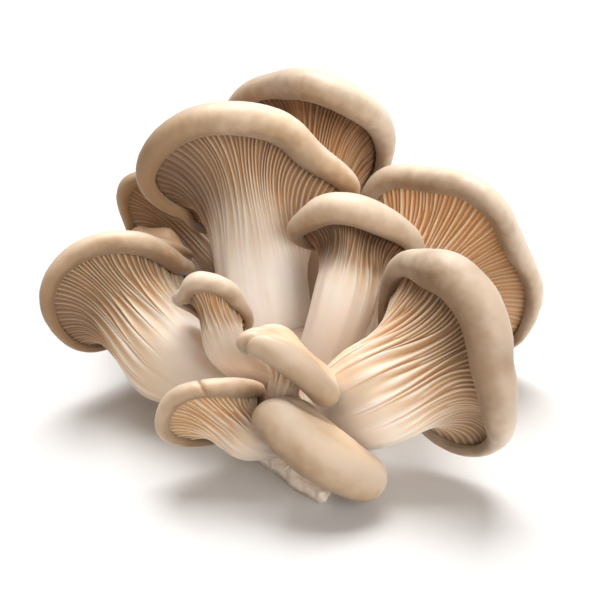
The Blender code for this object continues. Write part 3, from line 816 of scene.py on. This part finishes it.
class MUSHROOM_PG_gills(bpy.types.PropertyGroup):
    """Sizes of the gills."""
    depth: bpy.props.FloatProperty(name="Depth", description="Crest to groove on a large head",
                                   default=0.0016, min=0.0, max=0.004, unit="LENGTH")
    folds: bpy.props.FloatProperty(name="Folds", description="Height of the broad folds on a stem",
                                   default=0.0004, min=0.0, max=0.003, unit="LENGTH")
    sharpness: bpy.props.FloatProperty(name="Crest width", description="Width of a crest as a "
                                       "share of the way to the next", default=0.13, min=0.05,
                                       max=0.3, subtype="FACTOR")
    rows: bpy.props.IntProperty(name="Rows", description="Rows of points from root to rim",
                                default=90, min=20, max=120)


class MUSHROOM_PG_caps(bpy.types.PropertyGroup):
    """Sizes of the caps' skins."""
    dimples: bpy.props.FloatProperty(name="Dimples", description="How far the skin is pressed in",
                                     default=0.00035, min=0.0, max=0.003, unit="LENGTH")
    trim: bpy.props.FloatProperty(name="Trim", description="How much slimmer the rim is than the "
                                  "round of the solid", default=0.00014, min=0.0, max=0.001,
                                  unit="LENGTH")
    columns: bpy.props.IntProperty(name="Columns", description="Points round a large cap",
                                   default=180, min=40, max=300)
    roll_rows: bpy.props.IntProperty(name="Roll rows", description="Rows round the rolled rim",
                                     default=30, min=8, max=60)
    dome_rows: bpy.props.IntProperty(name="Dome rows", description="Rows over the dome",
                                     default=24, min=4, max=60)


class MUSHROOM_PG_base(bpy.types.PropertyGroup):
    """Sizes of the trimmed base."""
    tearing: bpy.props.FloatProperty(name="Tearing", description="Depth of the torn front",
                                     default=0.003, min=0.0, max=0.006, unit="LENGTH")


class MUSHROOM_PG_stage(bpy.types.PropertyGroup):
    """The floor and the light."""
    floor_size: bpy.props.FloatProperty(name="Floor", description="Width of the white floor",
                                        default=6.0, min=1.0, max=20.0, unit="LENGTH")
    sky: bpy.props.FloatProperty(name="Sky", description="Strength of the white surroundings",
                                 default=0.3, min=0.0, max=5.0)
    key: bpy.props.FloatProperty(name="Key light", description="Power of the large light overhead",
                                 default=15.0, min=0.0, max=200.0, unit="POWER")
    fill: bpy.props.FloatProperty(name="Fill light", default=7.0, min=0.0, max=200.0,
                                  description="Power of the large light in front", unit="POWER")


class MUSHROOM_OT_stems(bpy.types.Operator):
    """Grow every gilled stem over its solid"""
    bl_idname = "mushroom.stems"
    bl_label = "Gilled stems"

    def execute(self, context):
        settings = context.scene.mushroom_gills
        material = gill_finish(context.scene.mushroom_colours)
        for name, shape in MUSHROOMS.items():
            rows, angle, layers = stem_surface(name, shape, settings)
            lid = Head(shape, angle[-1])
            ends = [rows[0].mean(axis=0), lid.centre + FLESH_RISE * lid.normal]
            layers |= {key: shape[key] for key in ("warmth", "dusk", "shaded")}
            share = np.linspace(0, 1, len(rows))[:, None]
            piece = closed_mesh("gilled_stem_" + name, rows, ends, layers,
                                (angle / (2 * math.pi), share), material)
            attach(piece, "root")
            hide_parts("stem_" + name)
        return {"FINISHED"}


class MUSHROOM_OT_caps(bpy.types.Operator):
    """Lay the rolled skin over every cap"""
    bl_idname = "mushroom.caps"
    bl_label = "Cap skins"

    def execute(self, context):
        material = skin_finish(context.scene.mushroom_colours)
        for name, shape in MUSHROOMS.items():
            rows, ends, under, angle = cap_surface(name, shape, context.scene.mushroom_caps)
            share = np.linspace(0, 1, len(rows))[:, None]
            # Each cap's tone plus the painted shade and darker skin at its angles: full over the
            # rim, fading over the dome to its middle.
            tone = shape["tone"] + wear_and_shade_at(shape, angle) * np.clip(1 + np.array(under), 0, 1)
            layers = {"under": under, "tone": np.clip(tone, 0, 1), "cool": shape["cool"]}
            piece = closed_mesh("cap_skin_" + name, rows, ends, layers,
                                (angle[None] / (2 * math.pi), share), material)
            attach(piece, "root")
            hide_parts("cap_" + name)
        return {"FINISHED"}


class MUSHROOM_OT_base(bpy.types.Operator):
    """Make the trimmed and torn base"""
    bl_idname = "mushroom.base"
    bl_label = "Torn base"

    def execute(self, context):
        rows, ends, torn, angle = base_surface(context.scene.mushroom_base)
        levels = np.linspace(0, 1, len(rows))[:, None]
        piece = closed_mesh("torn_base", rows, ends, {"torn": torn},
                            (angle[None] / (2 * math.pi), levels),
                            base_finish(context.scene.mushroom_colours))
        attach(piece, "root")
        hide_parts("base")
        return {"FINISHED"}


def area_light(name, place, target, size, power):
    """A square soft light that looks from its place to the target."""
    lamp = bpy.data.lights.new(name, "AREA")
    lamp.shape = "SQUARE"
    lamp.size = size
    lamp.energy = power
    light = bpy.data.objects.new(name, lamp)
    bpy.context.scene.collection.objects.link(light)
    light.location = place
    way = np.array(target) - np.array(place)
    flat = math.hypot(way[0], way[1])
    turn = math.atan2(way[1], way[0]) - math.pi / 2
    light.rotation_euler = (math.atan2(flat, -way[2]), 0.0, turn)


class MUSHROOM_OT_stage(bpy.types.Operator):
    """Lay the white floor and set the lights and the camera"""
    bl_idname = "mushroom.stage"
    bl_label = "White stage"

    def execute(self, context):
        stage = context.scene.mushroom_stage
        half = stage.floor_size / 2
        mesh = bpy.data.meshes.new("floor")
        mesh.from_pydata([(-half, -half, 0), (half, -half, 0), (half, half, 0), (-half, half, 0)],
                         [], [(0, 1, 2, 3)])
        material, _, shader = node_tree("white paper")
        shader.inputs["Base Color"].default_value = (0.75, 0.75, 0.75, 1.0)
        shader.inputs["Roughness"].default_value = 0.9
        shader.inputs["Specular IOR Level"].default_value = 0.1
        mesh.materials.append(material)
        floor = bpy.data.objects.new("floor", mesh)
        context.scene.collection.objects.link(floor)
        world = bpy.data.worlds.new("white surroundings")
        context.scene.world = world
        world.use_nodes = True
        sky = world.node_tree.nodes["Background"]
        sky.inputs["Color"].default_value = (1.0, 0.87, 0.75, 1.0)
        sky.inputs["Strength"].default_value = stage.sky
        area_light("key overhead", (0.0, 0.35, 1.0), LIGHT_TARGET, 0.7, stage.key)
        area_light("fill in front", (0.55, -0.85, 0.5), LIGHT_TARGET, 0.8, stage.fill)
        context.scene.view_settings.view_transform = "Standard"
        lens = bpy.data.cameras.new("camera")
        lens.lens = 100.0
        lens.sensor_width = 36.0
        lens.clip_start = 0.01
        camera = bpy.data.objects.new("camera", lens)
        context.scene.collection.objects.link(camera)
        back = (0.0, -math.cos(CAMERA_RISE), math.sin(CAMERA_RISE))
        camera.location = np.array(CAMERA_TARGET) + CAMERA_DISTANCE * np.array(back)
        camera.rotation_euler = (math.pi / 2 - CAMERA_RISE, 0.0, 0.0)
        context.scene.camera = camera
        return {"FINISHED"}


class MUSHROOM_PT_panel(bpy.types.Panel):
    """The cluster's sizes, colours and steps"""
    bl_label = "Oyster mushroom cluster"
    bl_idname = "MUSHROOM_PT_panel"
    bl_space_type = "VIEW_3D"
    bl_region_type = "UI"
    bl_category = "Mushrooms"

    def draw(self, context):
        for operator in (MUSHROOM_OT_stems, MUSHROOM_OT_caps, MUSHROOM_OT_base, MUSHROOM_OT_stage):
            self.layout.operator(operator.bl_idname)
        for group in GROUPS:
            box = self.layout.box()
            settings = getattr(context.scene, group)
            for field in settings.bl_rna.properties:
                if field.identifier not in ("rna_type", "name"):
                    box.prop(settings, field.identifier)


GROUPS = {
    "mushroom_colours": MUSHROOM_PG_colours,
    "mushroom_gills": MUSHROOM_PG_gills,
    "mushroom_caps": MUSHROOM_PG_caps,
    "mushroom_base": MUSHROOM_PG_base,
    "mushroom_stage": MUSHROOM_PG_stage,
}
CLASSES = (*GROUPS.values(), MUSHROOM_OT_stems, MUSHROOM_OT_caps, MUSHROOM_OT_base,
           MUSHROOM_OT_stage, MUSHROOM_PT_panel)


def register():
    """Make the settings, the steps and the panel known."""
    for one in CLASSES:
        bpy.utils.register_class(one)
    for name, group in GROUPS.items():
        setattr(bpy.types.Scene, name, bpy.props.PointerProperty(type=group))


def unregister():
    """Take the settings, the steps and the panel away."""
    for name in GROUPS:
        delattr(bpy.types.Scene, name)
    for one in reversed(CLASSES):
        bpy.utils.unregister_class(one)


def main():
    register()
    bpy.ops.mushroom.stems()
    bpy.ops.mushroom.caps()
    bpy.ops.mushroom.base()
    bpy.ops.mushroom.stage()


if __name__ == "__main__":
    main()
